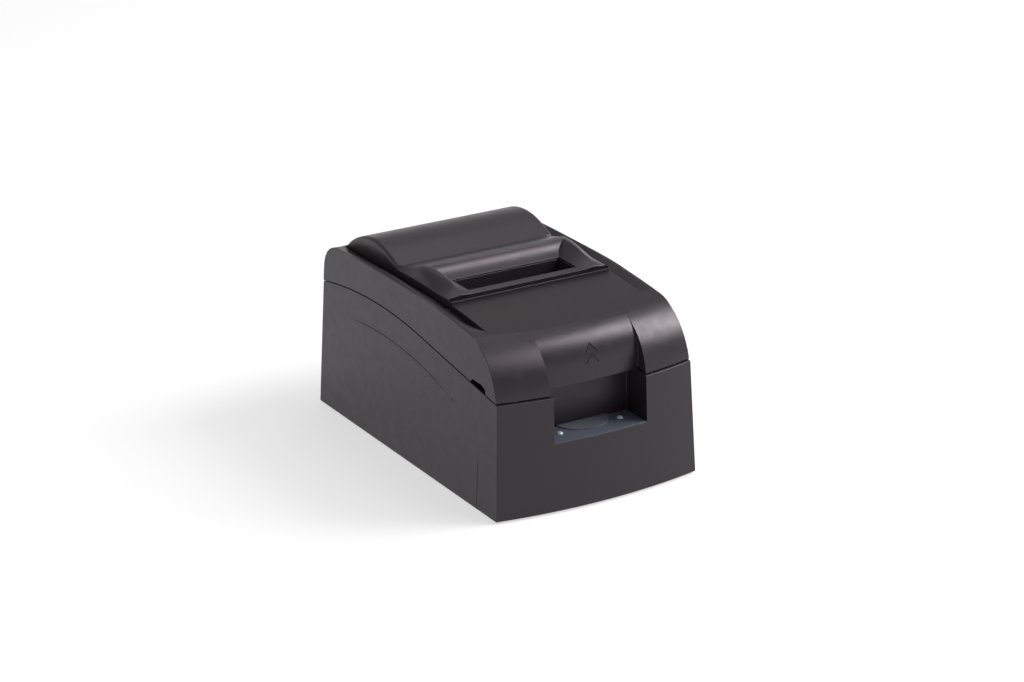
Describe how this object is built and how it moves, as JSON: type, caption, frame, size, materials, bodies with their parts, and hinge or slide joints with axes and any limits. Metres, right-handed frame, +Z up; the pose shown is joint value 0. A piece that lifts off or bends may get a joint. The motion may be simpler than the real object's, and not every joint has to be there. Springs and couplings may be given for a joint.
{
  "type": "dot matrix printer",
  "caption": "Desktop dot matrix receipt printer with a hinged printer cover, a nested drop-in roll cover with a tear bar, a moving impact head, ribbon cassette and geared paper feed",
  "frame": {"origin": "Middle of the footprint at the height of the table, under the printer", "axes": "+Z up, front (control recess) faces -Y, rear (sockets and hinges) faces +Y, +X to the right seen from the front"},
  "size_m": [0.157, 0.252, 0.1365],
  "materials": {
    "case_plastic": "charcoal moulded plastic with a fine satin grain",
    "cover_plastic": "charcoal moulded plastic with a fine satin grain",
    "lid_plastic": "charcoal moulded plastic with a fine satin grain",
    "panel_film": "blue-grey printed film, satin",
    "key_film": "lighter blue-grey key cap, satin",
    "lens_plastic": "smoked clear lens, unlit",
    "tear_steel": "dark steel strip with ground teeth",
    "galvanised_steel": "zinc-plated sheet steel",
    "ground_steel": "ground steel shaft",
    "screw_steel": "zinc-plated screws",
    "motor_steel": "plated motor can",
    "socket_metal": "nickel-plated shell",
    "cast_aluminium": "die-cast head body with cooling fins",
    "brass_parts": "turned brass",
    "white_plastic": "natural acetal gears and pulley",
    "black_plastic": "black moulded plastic",
    "well_plastic": "dark grey moulded plastic",
    "cassette_plastic": "black moulded cassette",
    "knob_plastic": "blue-grey ribbed knob",
    "rocker_plastic": "glossy black rocker",
    "chip_plastic": "black moulded package",
    "capacitor_sleeve": "dark blue shrink sleeve",
    "green_board": "green solder resist",
    "black_rubber": "matt rubber",
    "belt_rubber": "ribbed belt",
    "ribbon_fabric": "inked woven nylon"
  },
  "bodies": {
    "base": {"lower_case": "case_plastic", "base_plate": "galvanised_steel", "rubber_feet": "black_rubber", "base_screws": "screw_steel", "control_panel": "panel_film", "led_lenses": "lens_plastic", "panel_board": "green_board", "mech_frame": "galvanised_steel", "frame_screws": "screw_steel", "platen": "ground_steel", "guide_shafts": "ground_steel", "ribbon_cassette": "cassette_plastic", "ribbon_band": "ribbon_fabric", "carriage_motor": "motor_steel", "idler_stud": "ground_steel", "drive_belt": "belt_rubber", "feed_motor": "motor_steel", "gear_stud": "ground_steel", "paper_guide": "black_plastic", "roll_well": "well_plastic", "well_screws": "screw_steel", "main_board": "green_board", "board_chips": "chip_plastic", "board_capacitors": "capacitor_sleeve", "board_screws": "screw_steel", "power_inlet": "black_plastic", "usb_socket": "socket_metal", "drawer_socket": "black_plastic", "serial_socket": "socket_metal", "switch_body": "black_plastic", "hinge_pins": "ground_steel"},
    "printer_cover": {"printer_cover": "cover_plastic", "lid_pins": "ground_steel"},
    "roll_cover": {"roll_cover": "lid_plastic", "tear_bar": "tear_steel"},
    "carriage": {"carriage": "black_plastic", "print_head": "cast_aluminium"},
    "drive_pulley": {"drive_pulley": "brass_parts"},
    "idler_pulley": {"idler_pulley": "white_plastic"},
    "feed_roller": {"feed_shaft": "ground_steel", "feed_rubbers": "black_rubber", "feed_gear": "white_plastic"},
    "idler_gear": {"idler_gear": "white_plastic"},
    "motor_pinion": {"motor_pinion": "brass_parts"},
    "pinch_roller": {"pinch_roller": "black_rubber"},
    "feed_key": {"feed_key": "key_film"},
    "switch_rocker": {"switch_rocker": "rocker_plastic"},
    "ribbon_knob": {"ribbon_knob": "knob_plastic"}
  },
  "joints": [
    {"name": "printer_cover_hinge", "type": "hinge", "parent": "base", "child": "printer_cover", "pos_m": [0, 0.1228, 0.093], "axis": [-1, 0, 0], "range_deg": [0, 95]},
    {"name": "roll_cover_hinge", "type": "hinge", "parent": "printer_cover", "child": "roll_cover", "pos_m": [0, 0.1105, 0.11831], "axis": [-1, 0, 0], "range_deg": [0, 90]},
    {"name": "carriage_slide", "type": "slide", "parent": "base", "child": "carriage", "axis": [1, 0, 0], "range_m": [-0.032, 0.032]},
    {"name": "drive_pulley_spin", "type": "hinge", "parent": "base", "child": "drive_pulley", "pos_m": [0.044, -0.0661, 0.057], "axis": [0, 0, 1], "range_deg": [-345, 345]},
    {"name": "idler_pulley_spin", "type": "hinge", "parent": "base", "child": "idler_pulley", "pos_m": [-0.044, -0.0661, 0.057], "axis": [0, 0, 1], "range_deg": [-345, 345]},
    {"name": "feed_roller_spin", "type": "hinge", "parent": "base", "child": "feed_roller", "pos_m": [0, -0.01335, 0.078], "axis": [1, 0, 0], "continuous": true},
    {"name": "idler_gear_spin", "type": "hinge", "parent": "base", "child": "idler_gear", "pos_m": [0, 0.00158, 0.05819], "axis": [1, 0, 0], "continuous": true},
    {"name": "motor_pinion_spin", "type": "hinge", "parent": "base", "child": "motor_pinion", "pos_m": [0, -0.01243, 0.04892], "axis": [1, 0, 0], "continuous": true},
    {"name": "pinch_roller_spin", "type": "hinge", "parent": "base", "child": "pinch_roller", "pos_m": [0, -0.02365, 0.078], "axis": [1, 0, 0], "continuous": true},
    {"name": "feed_key_press", "type": "slide", "parent": "base", "child": "feed_key", "axis": [0, 0, -1], "range_m": [0, 0.0008], "stiffness_N_per_m": 1200, "springref_m": -0.0006},
    {"name": "switch_rocker_tilt", "type": "hinge", "parent": "base", "child": "switch_rocker", "pos_m": [0.052, 0.12098, 0.056], "axis": [1, 0, 0], "range_deg": [0, 12]},
    {"name": "ribbon_knob_turn", "type": "hinge", "parent": "base", "child": "ribbon_knob", "pos_m": [-0.04, -0.075, 0.104], "axis": [0, 0, 1], "continuous": true}
  ],
  "couplings": [
    {"joint": "drive_pulley_spin", "follows": "carriage_slide", "rad_per_m": -166.67},
    {"joint": "idler_pulley_spin", "follows": "carriage_slide", "rad_per_m": -166.67},
    {"joint": "idler_gear_spin", "follows": "feed_roller_spin", "ratio": -1.0667},
    {"joint": "motor_pinion_spin", "follows": "feed_roller_spin", "ratio": 2.6667},
    {"joint": "pinch_roller_spin", "follows": "feed_roller_spin", "ratio": -1.5}
  ]
}
